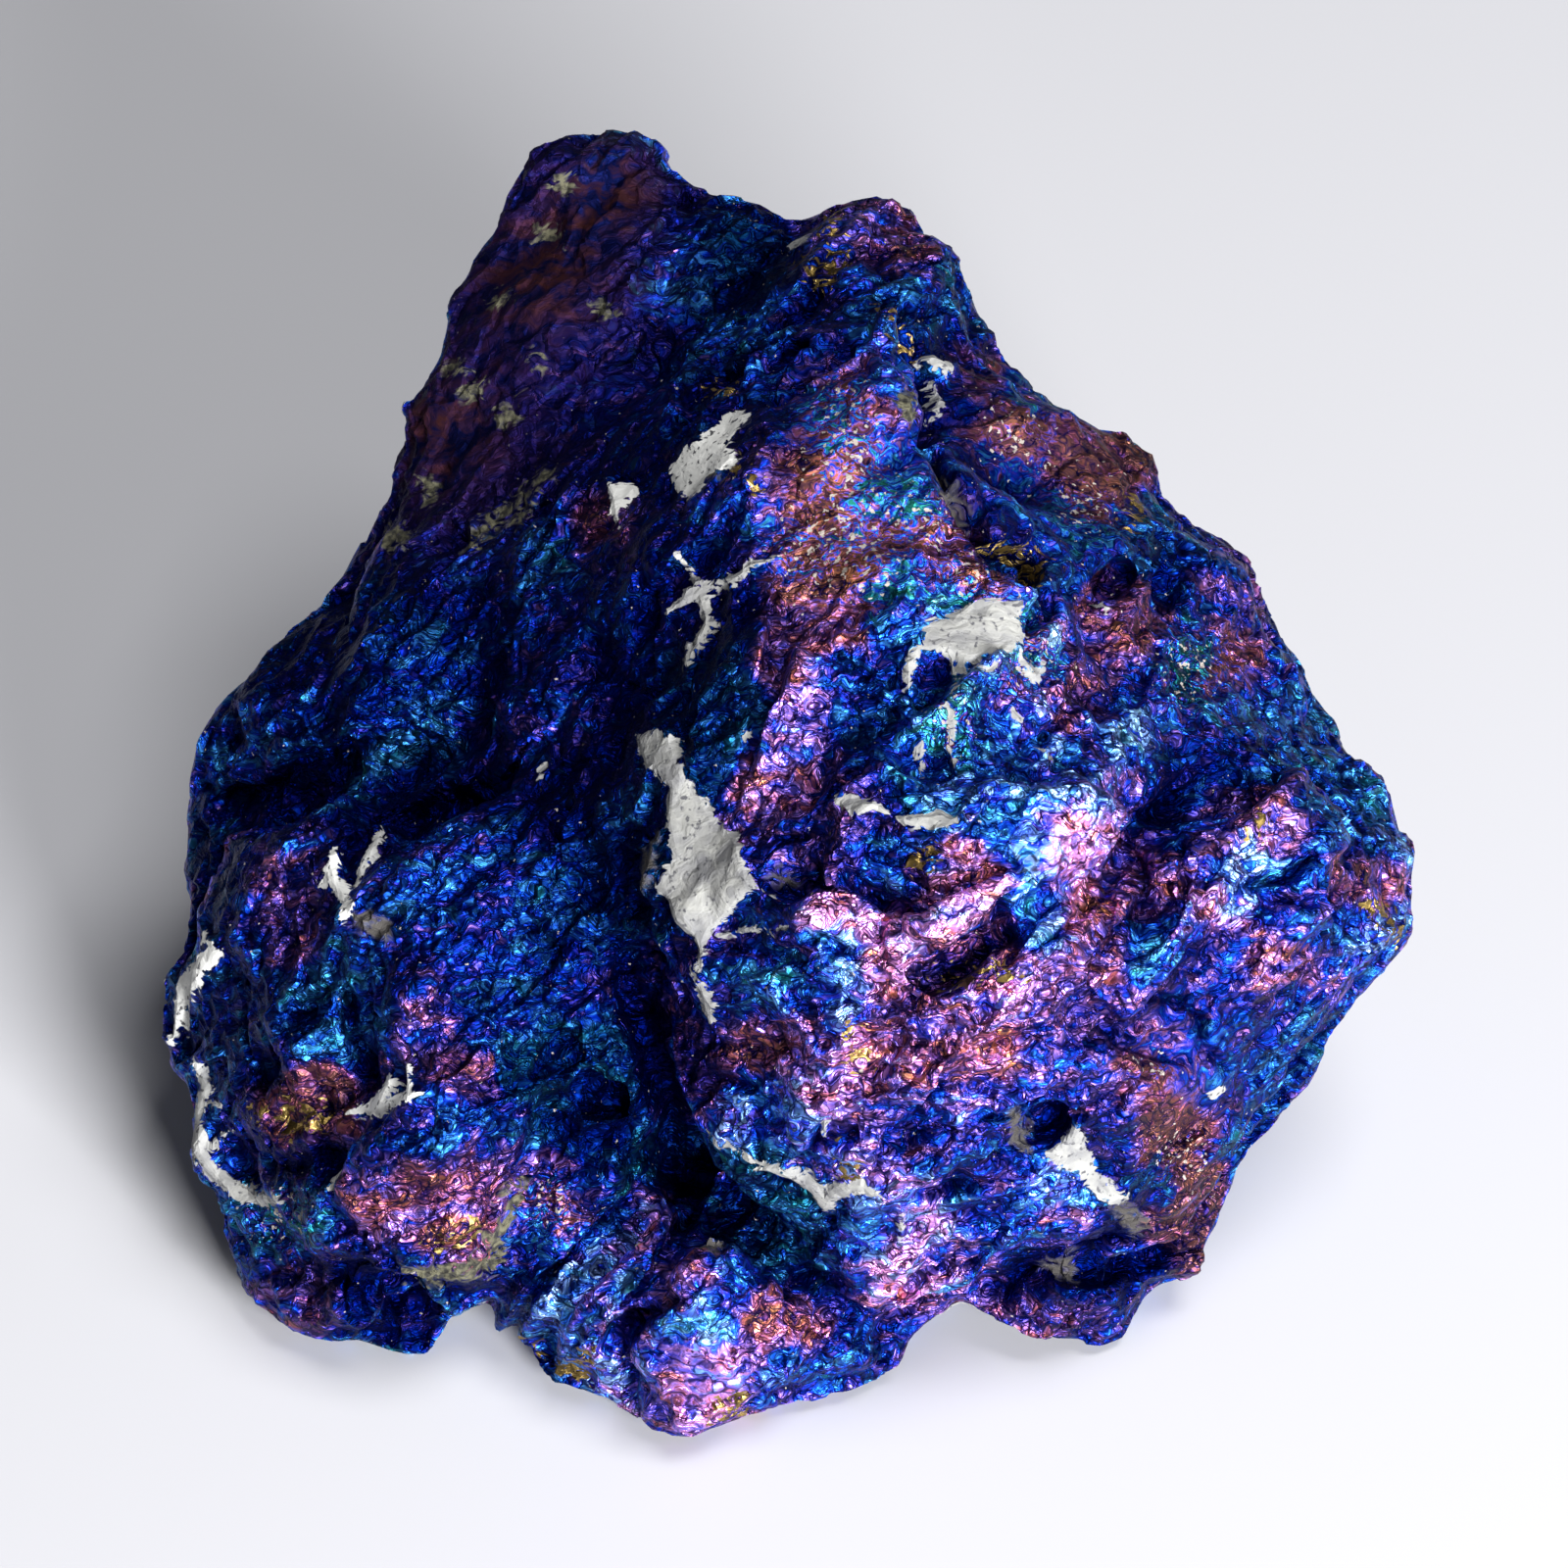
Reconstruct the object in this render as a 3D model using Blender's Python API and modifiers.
"""Peacock ore specimen: one broken chunk of iridescent copper sulphide ore, lying on its flat face.

Run it with: blender --background --python part.py

The stone is drawn from landmarks on its surface. Each landmark is (across, up, near) in millimetres, for
someone who looks down on the stone: across to the right, up in that view, and near towards the eye. The
hidden side and the flat face that the stone lies on are drawn in x, y and height over the floor.
"""

import math

import bmesh
import bpy
import numpy as np
from mathutils import Vector, geometry, noise

MM = 0.001
NODE_NAME = "ore_chunk"

# How the landmarks are seen: the eye's height over the horizon and its distance from the stone's middle.
VIEW_TILT = math.radians(45.0)
VIEW_DISTANCE = 440.0
MIDDLE_ABOVE_FLOOR = 22.0

# The cage between the landmarks, in millimetres: how fine it is meshed, how far its worn edges are smoothed,
# how thick it is at the outer edge, where that edge is clear of the floor, and how far it is cut off below.
CAGE_VOXEL = 0.7
WORN_PASSES = 4
EDGE_THICKNESS = 4.0
EDGE_CLEAR_OF_FLOOR = 9.0
BASE_SINK = 0.5
TRIANGLES = 8600

# The ore splits along one direction, so its ridges run that way and are this many times as long as wide.
SPLIT_ALONG = Vector((0.766, 0.454, 0.454)).normalized()
SPLIT_STRETCH = 2.2

# The broken surface, in millimetres: each kind of break's size and how far it stands out.
LARGE_BREAKS = (8.0, 1.5)
SMALL_BREAKS = (3.6, 0.8)
ROUGHNESS = (5.0, 0.5)
LEDGES = (5.0, 0.22)
LEDGES_IN_ALL = 6
WANDER = (9.0, 3.0)
RELIEF_MEAN = 0.3
RELIEF_AT_EDGE = 0.45
SEED_SHIFT = Vector((21.4, 15.8, 30.2))

# The outer edge as seen, clockwise from the back peak.
OUTLINE = [
    (-12.0, 32.1, -9.5), (-10.5, 33.1, -10.0), (-8.2, 33.2, -10.0), (-6.6, 32.2, -9.5), (-4.7, 30.9, -9.0),
    (-2.0, 29.5, -9.0), (0.0, 28.6, -8.5), (1.1, 28.9, -7.5), (2.5, 30.0, -6.5), (4.2, 30.3, -6.0),
    (6.2, 29.8, -6.0), (8.0, 28.1, -5.5), (9.2, 25.5, -5.0), (11.5, 22.5, -4.5), (13.5, 19.8, -4.0),
    (14.9, 18.2, -4.0), (16.8, 17.4, -4.5), (18.1, 16.6, -4.5), (18.6, 15.0, -4.0), (19.5, 13.7, -4.0),
    (22.0, 12.4, -4.5), (24.1, 10.9, -4.5), (25.0, 8.3, -3.5), (25.9, 5.5, -3.0), (27.5, 3.3, -2.0),
    (29.7, 0.8, -0.5), (31.2, -1.2, 0.5), (32.6, -3.1, 1.0), (32.2, -5.2, 1.0), (31.8, -8.2, 1.5),
    (30.5, -10.2, 2.0), (28.7, -12.0, 2.0), (27.2, -14.8, 1.5), (25.5, -17.5, 1.0), (23.7, -20.2, 0.0),
    (22.0, -22.5, -1.0), (21.1, -25.0, -2.0), (18.9, -26.2, -2.0), (17.5, -28.7, -1.5), (16.0, -29.4, -1.2),
    (13.5, -28.2, -0.5), (10.7, -26.7, 0.5), (9.2, -26.1, 1.5), (8.0, -27.2, 1.5), (6.7, -29.2, 0.8),
    (4.7, -30.6, 0.8), (2.0, -31.2, 1.0), (-0.5, -31.8, 1.5), (-2.7, -32.8, 2.2), (-5.0, -33.3, 2.6),
    (-7.2, -32.7, 2.0), (-9.5, -31.5, 1.0), (-12.0, -30.8, 0.5), (-13.2, -29.6, 0.0), (-14.2, -27.6, -0.5),
    (-16.0, -26.8, -1.5), (-16.9, -28.6, -1.8), (-18.0, -29.8, -1.2), (-20.0, -29.4, -1.5), (-22.7, -28.5, -2.0),
    (-25.5, -27.2, -2.5), (-27.5, -25.2, -3.0), (-28.7, -22.7, -3.0), (-30.2, -20.5, -3.0), (-31.1, -17.5, -3.0),
    (-31.7, -14.5, -3.0), (-32.5, -11.7, -3.0), (-32.1, -9.2, -3.0), (-31.1, -7.7, -3.0), (-30.9, -5.0, -3.0),
    (-30.7, -2.0, -3.5), (-30.3, 0.7, -4.0), (-29.0, 3.7, -4.5), (-26.7, 6.0, -5.0), (-24.5, 8.0, -5.5),
    (-22.5, 10.2, -6.0), (-20.7, 13.5, -6.5), (-18.7, 17.2, -7.5), (-17.5, 20.7, -8.0), (-16.0, 25.2, -9.0),
    (-14.0, 29.2, -9.5),
]

# Lines that the surface bends along, as seen.
FRONT_LINES = {
    "crest of the right lobe": [
        (2.2, 28.2, -3.5), (1.7, 25.5, 0.0), (1.5, 22.0, 3.5), (-0.5, 18.5, 6.5), (-1.7, 15.0, 9.0),
        (-2.2, 11.0, 11.2), (-3.6, 6.5, 12.4), (-6.0, 2.0, 12.8), (-6.6, -2.5, 13.6), (-6.4, -6.5, 13.8),
        (-5.2, -10.0, 13.0), (-4.4, -14.0, 11.6), (-3.4, -17.4, 10.2), (-0.8, -20.0, 10.8), (3.5, -22.0, 11.0),
        (5.0, -24.5, 9.0),
    ],
    "valley between the lobes": [
        (0.2, 27.6, -6.5), (-2.0, 26.0, -5.0), (-5.0, 22.5, -2.5), (-7.5, 18.5, 0.0), (-9.0, 14.0, 3.0),
        (-9.6, 9.0, 5.6), (-9.8, 4.0, 7.6), (-9.8, -1.0, 8.8), (-9.2, -6.0, 9.2), (-7.8, -10.5, 8.8),
        (-6.4, -15.0, 7.0), (-5.2, -18.8, 4.0), (-2.5, -21.4, 4.6), (0.5, -24.6, 5.4), (3.0, -27.0, 4.6),
    ],
    "valley left of the foot": [
        (-5.2, -18.8, 4.0), (-8.0, -21.0, 3.4), (-11.0, -24.0, 2.4), (-13.6, -25.8, 1.0),
    ],
    "brow of the left lobe": [
        (-14.0, -3.0, 7.6), (-18.5, -4.0, 8.2), (-20.0, -9.0, 9.2), (-18.5, -14.0, 10.0), (-17.5, -19.0, 9.4),
        (-18.5, -23.0, 7.5),
    ],
    "shoulder of the left lobe": [(-26.0, -0.5, 0.0), (-20.0, 0.5, 2.0), (-15.0, 2.0, 3.2)],
    "slab of the back peak": [(-25.0, 4.5, -0.5), (-20.0, 7.0, 1.5), (-15.0, 9.0, 2.5), (-12.0, 13.0, 1.0)],
    "spine of the back peak": [
        (-17.0, 13.5, -1.5), (-14.5, 18.0, -2.8), (-12.5, 23.5, -4.5), (-10.0, 29.0, -7.0),
    ],
    "top of the ledge": [
        (6.0, 23.2, 3.0), (7.2, 20.0, 6.0), (7.6, 17.2, 8.0), (9.0, 14.4, 9.6), (11.5, 11.5, 11.0),
    ],
    "foot of the ledge": [
        (7.6, 23.0, 0.5), (8.8, 20.0, 2.4), (9.2, 17.6, 4.0), (10.6, 14.6, 5.8), (13.0, 11.8, 7.4),
    ],
    "left lip over the hollow": [
        (-23.0, -24.6, 4.5), (-20.5, -25.0, 5.5), (-17.5, -25.2, 5.8), (-15.2, -25.0, 4.5),
    ],
    "left hollow": [(-23.5, -26.4, 0.8), (-20.0, -26.8, 0.6), (-17.4, -26.6, 0.6)],
    "right lip over the hollow": [
        (9.6, -23.4, 8.5), (12.0, -22.7, 8.6), (15.6, -22.4, 7.4), (19.4, -22.6, 4.0),
    ],
    "right hollow": [(11.6, -24.6, 2.4), (13.8, -24.5, 1.6), (16.8, -24.6, 1.0), (19.4, -24.6, -0.4)],
    "back of the low block": [(12.6, -25.8, 3.0), (15.0, -26.0, 3.4), (17.4, -26.2, 2.6)],
    "spine of the foot": [(-5.4, -21.4, 5.5), (-7.0, -24.0, 8.0), (-9.4, -27.5, 7.4), (-11.0, -29.6, 4.5)],
    "brow of the foot": [(-4.0, -23.6, 7.4), (-3.4, -26.5, 9.0), (-3.0, -29.5, 7.8), (-5.0, -31.7, 5.2)],
    "notch of the right wing": [(16.4, -4.6, 16.2), (18.0, -3.0, 13.4), (20.4, -1.0, 11.0), (22.6, 0.2, 8.8)],
}

# Single landmarks between those lines, as seen.
FRONT_POINTS = {
    "peak of the right lobe": [(4.5, 28.2, -3.5), (7.2, 25.8, -2.2), (4.4, 24.0, 2.4)],
    "upper face": [
        (5.2, 20.6, 6.6), (3.4, 16.0, 9.4), (6.6, 13.4, 11.2), (3.2, 10.6, 12.4), (8.0, 9.2, 13.6),
    ],
    "middle face": [
        (12.4, 8.4, 12.0), (2.6, 5.0, 15.2), (9.2, 4.2, 16.4), (4.6, 0.4, 17.6), (10.4, -0.8, 18.8),
    ],
    "bright brow": [
        (14.2, -2.2, 18.2), (4.0, -4.6, 18.6), (8.2, -7.4, 20.2), (12.6, -6.4, 19.8), (15.2, -9.0, 18.4),
    ],
    "lower face": [
        (3.4, -10.6, 18.2), (8.6, -12.0, 18.2), (3.0, -15.6, 15.6), (8.6, -17.4, 14.6), (13.0, -12.8, 16.8),
    ],
    "skirt": [
        (6.6, -20.8, 12.2), (12.8, -20.0, 11.4), (15.2, -17.0, 12.2), (19.0, -13.8, 12.2),
        (19.2, -18.8, 8.4),
    ],
    "low right flank": [(23.4, -14.0, 7.2), (21.2, -21.0, 3.6), (25.2, -10.4, 9.2), (19.2, -8.4, 15.4)],
    "right wing": [
        (22.2, -4.8, 13.4), (25.0, -1.6, 9.8), (24.6, -7.4, 11.8), (28.6, -3.8, 7.0), (29.0, -7.8, 6.2),
    ],
    "strip beyond the ledge": [(10.6, 20.4, 0.6), (13.4, 16.2, 2.0), (16.6, 13.8, 2.0), (15.2, 10.2, 6.2)],
    "upper right flank": [
        (18.8, 9.0, 5.0), (22.2, 8.2, 2.2), (17.4, 5.0, 9.8), (21.6, 3.2, 7.4), (25.2, 2.2, 4.2),
    ],
    "saddle": [(14.8, 2.2, 14.2), (18.4, 1.6, 11.6)],
    "left lobe": [(-13.2, -9.0, 9.0), (-11.0, -14.6, 9.2), (-13.8, -20.4, 7.2), (-25.0, -3.6, 4.0)],
    "left edge": [(-27.4, -7.6, 3.2), (-28.0, -14.0, 2.6), (-25.4, -20.0, 3.6), (-23.4, -13.4, 6.6)],
    "back peak": [(-7.6, 26.0, -4.5), (-9.6, 20.0, -1.6)],
    "foot": [(-1.0, -25.2, 7.6), (0.0, -28.6, 7.2), (2.6, -27.6, 5.8), (4.2, -29.2, 4.0), (-0.8, -30.8, 4.4)],
    "toe": [(-8.6, -30.4, 4.6)],
}

# The hidden side: corners of the chunk behind and beneath, x, y and height over the floor.
BACK_CORNERS = [
    (-9.5, 31.8, 29.0), (4.5, 30.0, 27.5), (16.0, 22.5, 22.5), (26.0, 10.5, 16.0), (29.5, -3.5, 13.0),
    (24.0, -12.0, 7.5), (-17.5, 26.0, 23.5), (-25.4, 14.0, 17.0), (-30.0, 1.0, 12.0), (-28.5, -11.0, 9.0),
    (-3.0, 31.5, 15.0), (12.5, 27.0, 11.5), (24.0, 15.0, 8.0), (-18.0, 27.0, 11.0), (-28.0, 13.0, 7.5),
]
BASE_CORNERS = [
    (-26.0, -11.0), (-23.0, -14.2), (-19.8, -16.4), (-16.0, -13.4), (-12.4, -18.2), (-5.0, -22.7), (0.0, -20.4),
    (4.6, -18.8), (8.6, -13.2), (13.4, -15.4), (17.4, -15.8), (20.6, -10.4), (24.0, -0.5), (22.5, 8.5),
    (14.5, 19.5), (1.0, 25.0), (-13.0, 23.0), (-23.0, 13.0), (-27.0, 0.0),
]

# Cracks and grooves: width and depth, then the points that each runs through, as seen.
GROOVES = {
    "crack in the brow, left arm": (0.9, 1.5, [(0.5, -4.8), (3.5, -5.8), (5.3, -6.6)]),
    "crack in the brow, right arm": (0.9, 1.5, [(5.3, -6.6), (8.0, -5.0), (10.5, -4.0)]),
    "slot under the brow": (0.8, 1.7, [(7.6, -9.6), (10.0, -8.6), (12.0, -7.4), (13.8, -6.2)]),
    "notch of the right wing": (1.0, 1.8, [(16.0, -5.2), (18.0, -3.0), (20.5, -0.8), (22.5, 0.0)]),
    "crack down from that notch": (0.8, 1.2, [(18.2, -3.4), (19.0, -6.4), (18.4, -8.4)]),
    "groove in the foot": (0.9, 1.4, [(-8.4, -31.4), (-8.0, -28.4), (-6.4, -25.0), (-4.6, -21.6)]),
    "edge of the foot's slab": (0.8, 1.2, [(-13.0, -29.0), (-10.4, -25.4), (-7.4, -22.0)]),
    "crack in the smooth face": (0.7, 0.8, [(15.0, -12.0), (18.4, -13.2), (21.4, -14.0)]),
    "top edge of the left lobe": (1.0, 1.2, [(-28.0, -1.4), (-23.4, 0.4), (-19.0, 1.4), (-15.6, 3.0)]),
    "second line below that edge": (0.9, 1.0, [(-20.4, -1.6), (-17.4, -0.6), (-14.4, 0.2)]),
    "crack in the left lobe": (0.8, 0.9, [(-25.4, -17.6), (-22.0, -14.0), (-21.0, -9.6)]),
    "step left of the valley": (0.9, 1.2, [(-14.4, -24.2), (-12.6, -20.4), (-11.6, -17.0)]),
    "bottom of the valley": (1.1, 1.6, [(-8.0, -9.6), (-6.9, -13.0), (-5.6, -17.0), (-5.2, -19.4)]),
    "valley's right branch": (1.2, 1.2, [(-5.2, -19.4), (-2.5, -21.4), (0.5, -24.6), (2.8, -27.0)]),
    "valley's left branch": (1.2, 1.2, [(-5.2, -19.4), (-8.0, -21.4), (-11.0, -24.2)]),
    "ridge line of the lower face": (0.8, 1.0, [(3.0, -14.6), (7.0, -13.0), (11.0, -10.6), (14.6, -10.2)]),
    "crack over the ledge": (0.7, 0.9, [(5.0, 16.6), (7.0, 17.6), (8.6, 18.6)]),
    "crack across the middle face": (0.8, 1.0, [(2.0, 3.6), (5.0, 3.2), (6.6, 1.4), (9.6, 0.6)]),
}

# Small holes: radius and depth, then where each is, as seen.
PITS = {
    "square pit in the smooth face": (1.1, 1.9, (13.6, -17.4)),
    "pit on the upper right": (0.9, 1.5, (16.4, 10.0)),
    "pit beside it": (0.8, 1.2, (19.2, 9.8)),
    "pit at the ledge's end": (0.8, 1.2, (12.2, 11.6)),
    "pit in the valley's left wall": (1.0, 1.4, (-9.4, -16.0)),
    "dent at the brow's crack": (0.9, 0.9, (4.6, -5.4)),
    "dent in the left hollow": (1.4, 1.2, (-19.2, -26.2)),
    "dent on the crest": (0.7, 0.7, (-5.0, -8.9)),
}


def from_view(across, up, near):
    """The place in the room, in millimetres, of a point as seen."""
    shrink = 1.0 - near / VIEW_DISTANCE
    across, up = across * shrink, up * shrink
    y = up * math.sin(VIEW_TILT) - near * math.cos(VIEW_TILT)
    z = up * math.cos(VIEW_TILT) + near * math.sin(VIEW_TILT)
    return Vector((across, y, z + MIDDLE_ABOVE_FLOOR))


def to_view(points):
    """An array of places in the room, as an array of (across, up, near)."""
    x, y, z = points[:, 0], points[:, 1], points[:, 2] - MIDDLE_ABOVE_FLOOR
    up = y * math.sin(VIEW_TILT) + z * math.cos(VIEW_TILT)
    near = z * math.sin(VIEW_TILT) - y * math.cos(VIEW_TILT)
    shrink = 1.0 - near / VIEW_DISTANCE
    return np.column_stack((x / shrink, up / shrink, near))


def view_of(place):
    """One place in the room as (across, up, near)."""
    return tuple(to_view(np.array([place], float))[0])


def skin(lines, points):
    """A sheet through the outline, along the lines and over the points, as its landmarks and triangles."""
    landmarks = list(OUTLINE)
    edges = []
    for line in lines:
        for step, landmark in enumerate(line):
            if landmark not in landmarks:
                landmarks.append(landmark)
            if step:
                edges.append((landmarks.index(line[step - 1]), landmarks.index(landmark)))
    landmarks += [p for p in points if p not in landmarks]
    flat = [Vector(p[:2]) for p in landmarks]
    rim = [list(range(len(OUTLINE)))[::-1]]
    found, _, triangles, _, _, _ = geometry.delaunay_2d_cdt(flat, edges, rim, 1, 1e-5)
    if len(found) != len(landmarks):
        raise ValueError("two lines of landmarks cross, so the sheet has a point with no depth")
    return landmarks, [tuple(t) for t in triangles]


def cage():
    """The closed stone through all landmarks: its seen and its hidden side, joined at the outline."""
    singles = [p for group in FRONT_POINTS.values() for p in group]
    front, front_faces = skin(FRONT_LINES.values(), singles)
    hidden = [view_of(p) for p in BACK_CORNERS]
    hidden += [view_of((x, y, -BASE_SINK)) for x, y in BASE_CORNERS]
    clear = [p for p in OUTLINE[::2] if from_view(*p).z > EDGE_CLEAR_OF_FLOOR]
    hidden += [(0.97 * across, 0.97 * up, near - EDGE_THICKNESS) for across, up, near in clear]
    back, back_faces = skin([], hidden)
    shape = bmesh.new()
    rim = [shape.verts.new(from_view(*p) * MM) for p in OUTLINE]
    front_verts = rim + [shape.verts.new(from_view(*p) * MM) for p in front[len(OUTLINE):]]
    back_verts = rim + [shape.verts.new(from_view(*p) * MM) for p in back[len(OUTLINE):]]
    for face in front_faces:
        shape.faces.new([front_verts[i] for i in face])
    for face in back_faces:
        shape.faces.new([back_verts[i] for i in reversed(face)])
    bmesh.ops.recalc_face_normals(shape, faces=shape.faces)
    mesh = bpy.data.meshes.new("stone cage")
    shape.to_mesh(mesh)
    shape.free()
    return mesh


def with_modifier(mesh, kind, **settings):
    """The mesh after one of Blender's modifiers."""
    holder = bpy.data.objects.new("holder", mesh)
    bpy.context.scene.collection.objects.link(holder)
    modifier = holder.modifiers.new(kind.lower(), kind)
    for name, value in settings.items():
        setattr(modifier, name, value)
    graph = bpy.context.evaluated_depsgraph_get()
    made = bpy.data.meshes.new_from_object(holder.evaluated_get(graph))
    bpy.data.objects.remove(holder)
    return made


def distance_to_path(places, path):
    """How far each seen place lies from a path of seen points."""
    nearest = np.full(len(places), np.inf)
    for start, end in zip(path, path[1:]):
        a, b = np.array(start), np.array(end)
        along = np.clip((places - a) @ (b - a) / ((b - a) @ (b - a)), 0.0, 1.0)
        nearest = np.minimum(nearest, np.linalg.norm(places - a - along[:, None] * (b - a), axis=1))
    return nearest


def wander(point, size, reach):
    """A smooth bend of space, so that no break runs straight: a push of up to about reach millimetres."""
    push = [noise.noise(point / size + SEED_SHIFT * turn) for turn in (1.0, 2.0, 3.0)]
    return Vector(push) * reach


def scoops(point, size):
    """Shell-shaped breaks, about size millimetres across: bowls from 0 up to the sharp rims between them."""
    nearest = noise.voronoi(point / size, distance_metric="DISTANCE_SQUARED")[0]
    return min(nearest[0], 1.0)


def relief(point):
    """How far the broken surface stands out at a place, in millimetres, by fracture alone."""
    bend = wander(point, *WANDER)
    split = point - SPLIT_ALONG * (point.dot(SPLIT_ALONG) * (1.0 - 1.0 / SPLIT_STRETCH)) + bend
    large = scoops(split + SEED_SHIFT, LARGE_BREAKS[0]) * LARGE_BREAKS[1]
    small = scoops(split + bend + SEED_SHIFT * 2.0, SMALL_BREAKS[0]) * SMALL_BREAKS[1]
    rough = noise.fractal(point / ROUGHNESS[0], 0.9, 2.1, 4) * ROUGHNESS[1]
    ledge = math.floor(noise.noise(split / LEDGES[0]) * LEDGES_IN_ALL) * LEDGES[1]
    return large + small + rough + ledge - RELIEF_MEAN


def broken(mesh):
    """Gives the mesh its fracture relief, then the cracks and pits that a viewer sees."""
    count = len(mesh.vertices)
    places = np.empty(count * 3)
    normals = np.empty(count * 3)
    mesh.vertices.foreach_get("co", places)
    mesh.vertex_normals.foreach_get("vector", normals)
    places = places.reshape(-1, 3) / MM
    normals = normals.reshape(-1, 3)
    seen = to_view(places)
    to_eye = np.array((0.0, -math.cos(VIEW_TILT), math.sin(VIEW_TILT)))
    facing_eye = normals @ to_eye
    on_base = np.clip((places[:, 2] - 0.2) / 1.2, 0.0, 1.0)
    at_edge = RELIEF_AT_EDGE + (1.0 - RELIEF_AT_EDGE) * np.clip(np.abs(facing_eye) / 0.35, 0.0, 1.0)
    out = np.array([relief(Vector(p)) for p in places]) * on_base * at_edge
    front = np.clip((facing_eye - 0.05) / 0.25, 0.0, 1.0)
    for width, depth, path in GROOVES.values():
        out -= front * depth * np.exp(-(distance_to_path(seen[:, :2], path) / width) ** 2)
    for radius, depth, middle in PITS.values():
        away = np.linalg.norm(seen[:, :2] - np.array(middle), axis=1)
        out -= front * depth * np.exp(-(away / radius) ** 4)
    places += normals * out[:, None]
    mesh.vertices.foreach_set("co", (places * MM).ravel())
    mesh.update()


def flat_base(mesh):
    """Cuts the stone off level with the floor, closes the cut with one flat face, and centres it there."""
    shape = bmesh.new()
    shape.from_mesh(mesh)
    everything = shape.verts[:] + shape.edges[:] + shape.faces[:]
    cut = bmesh.ops.bisect_plane(
        shape, geom=everything, plane_co=(0, 0, 0), plane_no=(0, 0, 1), clear_inner=True, dist=1e-6
    )
    rim = [e for e in cut["geom_cut"] if isinstance(e, bmesh.types.BMEdge)]
    bmesh.ops.holes_fill(shape, edges=rim, sides=0)
    bmesh.ops.triangulate(shape, faces=[f for f in shape.faces if len(f.verts) > 4])
    low = Vector([min(v.co[k] for v in shape.verts) for k in range(3)])
    high = Vector([max(v.co[k] for v in shape.verts) for k in range(3)])
    middle = (low + high) / 2
    bmesh.ops.translate(shape, verts=shape.verts, vec=(-middle.x, -middle.y, -low.z))
    print("the stone's middle was at", [round(c / MM, 2) for c in middle], "mm")
    shape.to_mesh(mesh)
    shape.free()


def tarnish():
    """Deep blue tarnish over copper sulphide, as one plain finish."""
    material = bpy.data.materials.new("tarnished ore")
    material.use_nodes = True
    shader = material.node_tree.nodes["Principled BSDF"]
    shader.inputs["Base Color"].default_value = (0.06, 0.09, 0.36, 1.0)
    shader.inputs["Metallic"].default_value = 0.9
    shader.inputs["Roughness"].default_value = 0.35
    return material


def main():
    for obj in list(bpy.data.objects):
        bpy.data.objects.remove(obj)
    specimen = bpy.data.collections.new("Peacock ore specimen")
    bpy.context.scene.collection.children.link(specimen)
    stone = with_modifier(cage(), "REMESH", mode="VOXEL", voxel_size=CAGE_VOXEL * MM)
    stone = with_modifier(stone, "SMOOTH", factor=0.5, iterations=WORN_PASSES)
    broken(stone)
    share = TRIANGLES / (2 * len(stone.polygons))
    stone = with_modifier(stone, "DECIMATE", ratio=share)
    flat_base(stone)
    stone.name = NODE_NAME
    stone.materials.append(tarnish())
    specimen.objects.link(bpy.data.objects.new(NODE_NAME, stone))


main()
